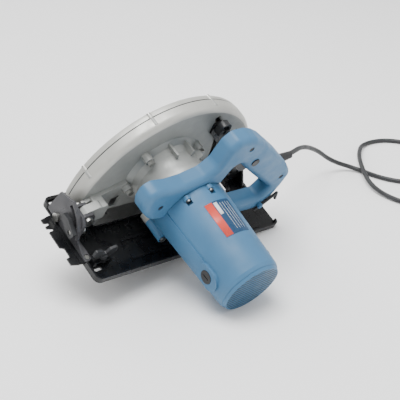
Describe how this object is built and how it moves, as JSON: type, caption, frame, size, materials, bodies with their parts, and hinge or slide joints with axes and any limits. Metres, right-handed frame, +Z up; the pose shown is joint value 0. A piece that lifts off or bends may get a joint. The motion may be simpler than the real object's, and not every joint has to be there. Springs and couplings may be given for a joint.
{
  "type": "corded circular saw",
  "caption": "Hand-held circular saw with motor beside the blade: tilting steel base, cast blade case with sprung lower guard, closed loop handle with front grip, cord and plug.",
  "frame": {"origin": "centre of the saw's footprint at the surface it lies on, cord left out", "axes": "+Z up; the saw lies leaning on the lower guard, the motor's end and the base's rear left corner; +X is roughly the direction of cut, nose slightly up; +Y is the operator's left"},
  "size_m": [0.713, 0.4106, 0.2292],
  "materials": {
    "black_steel": "black painted steel",
    "zinc_steel": "bright zinc plated steel",
    "cast_alloy": "die-cast alloy, light grey",
    "blade_steel": "ground steel",
    "housing_blue": "blue glass-filled nylon",
    "black_plastic": "black plastic",
    "rubber_black": "black rubber",
    "copper": "copper",
    "laminated_steel": "laminated steel",
    "carbon": "carbon block",
    "gear_steel": "hardened steel",
    "label_print": "printed label, no text",
    "fan_plastic": "moulded fan"
  },
  "bodies": {
    "base": {"base_plate": "black_steel", "sight_plate": "black_steel", "sight_rivets": "zinc_steel", "bevel_quadrant": "zinc_steel", "fence_bridge": "black_steel"},
    "fence_clamp": {"fence_screw": "zinc_steel"},
    "bevel_frame": {"front_bracket": "zinc_steel", "depth_arm": "black_steel", "depth_bolt": "zinc_steel", "bevel_bolt": "zinc_steel", "bevel_pins": "zinc_steel"},
    "bevel_clamp": {"bevel_lever": "black_plastic"},
    "depth_clamp": {"depth_lever": "black_plastic"},
    "saw_body": {"blade_case": "cast_alloy", "case_cover": "cast_alloy", "case_screws": "zinc_steel", "gear_housing": "cast_alloy", "gear_bolts": "zinc_steel", "depth_pivot": "zinc_steel", "motor_housing": "housing_blue", "motor_screws": "zinc_steel", "field_core": "laminated_steel", "field_coils": "copper", "brush_holders": "black_plastic", "carbon_brushes": "carbon", "brush_caps": "black_plastic", "rating_label": "label_print", "motor_bearings": "gear_steel", "spindle_bearings": "gear_steel", "handle_left": "housing_blue", "handle_right": "housing_blue", "handle_screws": "zinc_steel", "switch_body": "black_plastic", "trigger_pin": "zinc_steel", "trigger_spring": "gear_steel", "lock_spring": "gear_steel", "hex_key": "black_steel", "cord_guard": "rubber_black", "guard_ring": "zinc_steel", "guard_spring": "gear_steel", "cord": "rubber_black", "cord_coil": "rubber_black", "coil_tie": "rubber_black", "plug_body": "rubber_black", "plug_pins": "zinc_steel"},
    "trigger": {"trigger": "black_plastic"},
    "lock_button": {"lock_button": "black_plastic"},
    "shaft_lock": {"shaft_lock": "black_steel"},
    "armature": {"armature_shaft": "gear_steel", "pinion": "gear_steel", "armature_core": "laminated_steel", "commutator": "copper", "cooling_fan": "fan_plastic"},
    "blade_spindle": {"spindle": "gear_steel", "driven_gear": "gear_steel", "inner_flange": "zinc_steel", "blade": "blade_steel", "outer_flange": "zinc_steel", "blade_bolt": "zinc_steel"},
    "lower_guard": {"lower_guard": "zinc_steel"}
  },
  "joints": [
    {"name": "fence_clamp_turn", "type": "hinge", "parent": "base", "child": "fence_clamp", "pos_m": [0.13508, -0.0187, 0.06366], "axis": [-0.1139, 0.4818, 0.8689], "range_deg": [-90, 90]},
    {"name": "bevel_tilt", "type": "hinge", "parent": "base", "child": "bevel_frame", "pos_m": [-0.01258, -0.08631, 0.07833], "axis": [0.9915, 0, 0.13], "range_deg": [0, 45]},
    {"name": "bevel_clamp_turn", "type": "hinge", "parent": "bevel_frame", "child": "bevel_clamp", "pos_m": [0.15473, -0.04974, 0.09456], "axis": [0.9915, 0, 0.13], "range_deg": [-40, 10]},
    {"name": "depth_swing", "type": "hinge", "parent": "bevel_frame", "child": "saw_body", "pos_m": [0.13368, -0.05498, 0.10891], "axis": [0.0626, 0.8763, -0.4777], "range_deg": [-3.5, 27]},
    {"name": "depth_clamp_turn", "type": "hinge", "parent": "bevel_frame", "child": "depth_clamp", "pos_m": [-0.06398, -0.01157, 0.1773], "axis": [0.0626, 0.8763, -0.4777], "range_deg": [-10, 55]},
    {"name": "trigger_pull", "type": "hinge", "parent": "saw_body", "child": "trigger", "pos_m": [-0.05803, 0.02654, 0.16006], "axis": [0.0626, 0.8763, -0.4777], "range_deg": [0, 8], "stiffness_Nm_per_rad": 1.5, "springref_deg": -1.15, "deforming": ["trigger_spring"]},
    {"name": "lock_button_press", "type": "slide", "parent": "saw_body", "child": "lock_button", "axis": [-0.0626, -0.8763, 0.4777], "range_m": [0, 0.0028], "stiffness_N_per_m": 800, "springref_m": -0.001},
    {"name": "shaft_lock_press", "type": "slide", "parent": "saw_body", "child": "shaft_lock", "axis": [-0.0626, -0.8763, 0.4777], "range_m": [0, 0.0034], "stiffness_N_per_m": 800, "springref_m": -0.001, "deforming": ["lock_spring"]},
    {"name": "blade_spin", "type": "hinge", "parent": "saw_body", "child": "blade_spindle", "pos_m": [-0.01691, -0.0783, 0.1113], "axis": [0.0626, 0.8763, -0.4777], "continuous": true},
    {"name": "armature_spin", "type": "hinge", "parent": "saw_body", "child": "armature", "pos_m": [0.01292, 0.02289, 0.09149], "axis": [0.0626, 0.8763, -0.4777], "continuous": true},
    {"name": "guard_swing", "type": "hinge", "parent": "saw_body", "child": "lower_guard", "pos_m": [-0.01691, -0.0783, 0.1113], "axis": [0.0626, 0.8763, -0.4777], "range_deg": [0, 120], "stiffness_Nm_per_rad": 0.35, "springref_deg": -45.84}
  ],
  "couplings": [
    {"joint": "armature_spin", "follows": "blade_spin", "ratio": -3.7273}
  ]
}
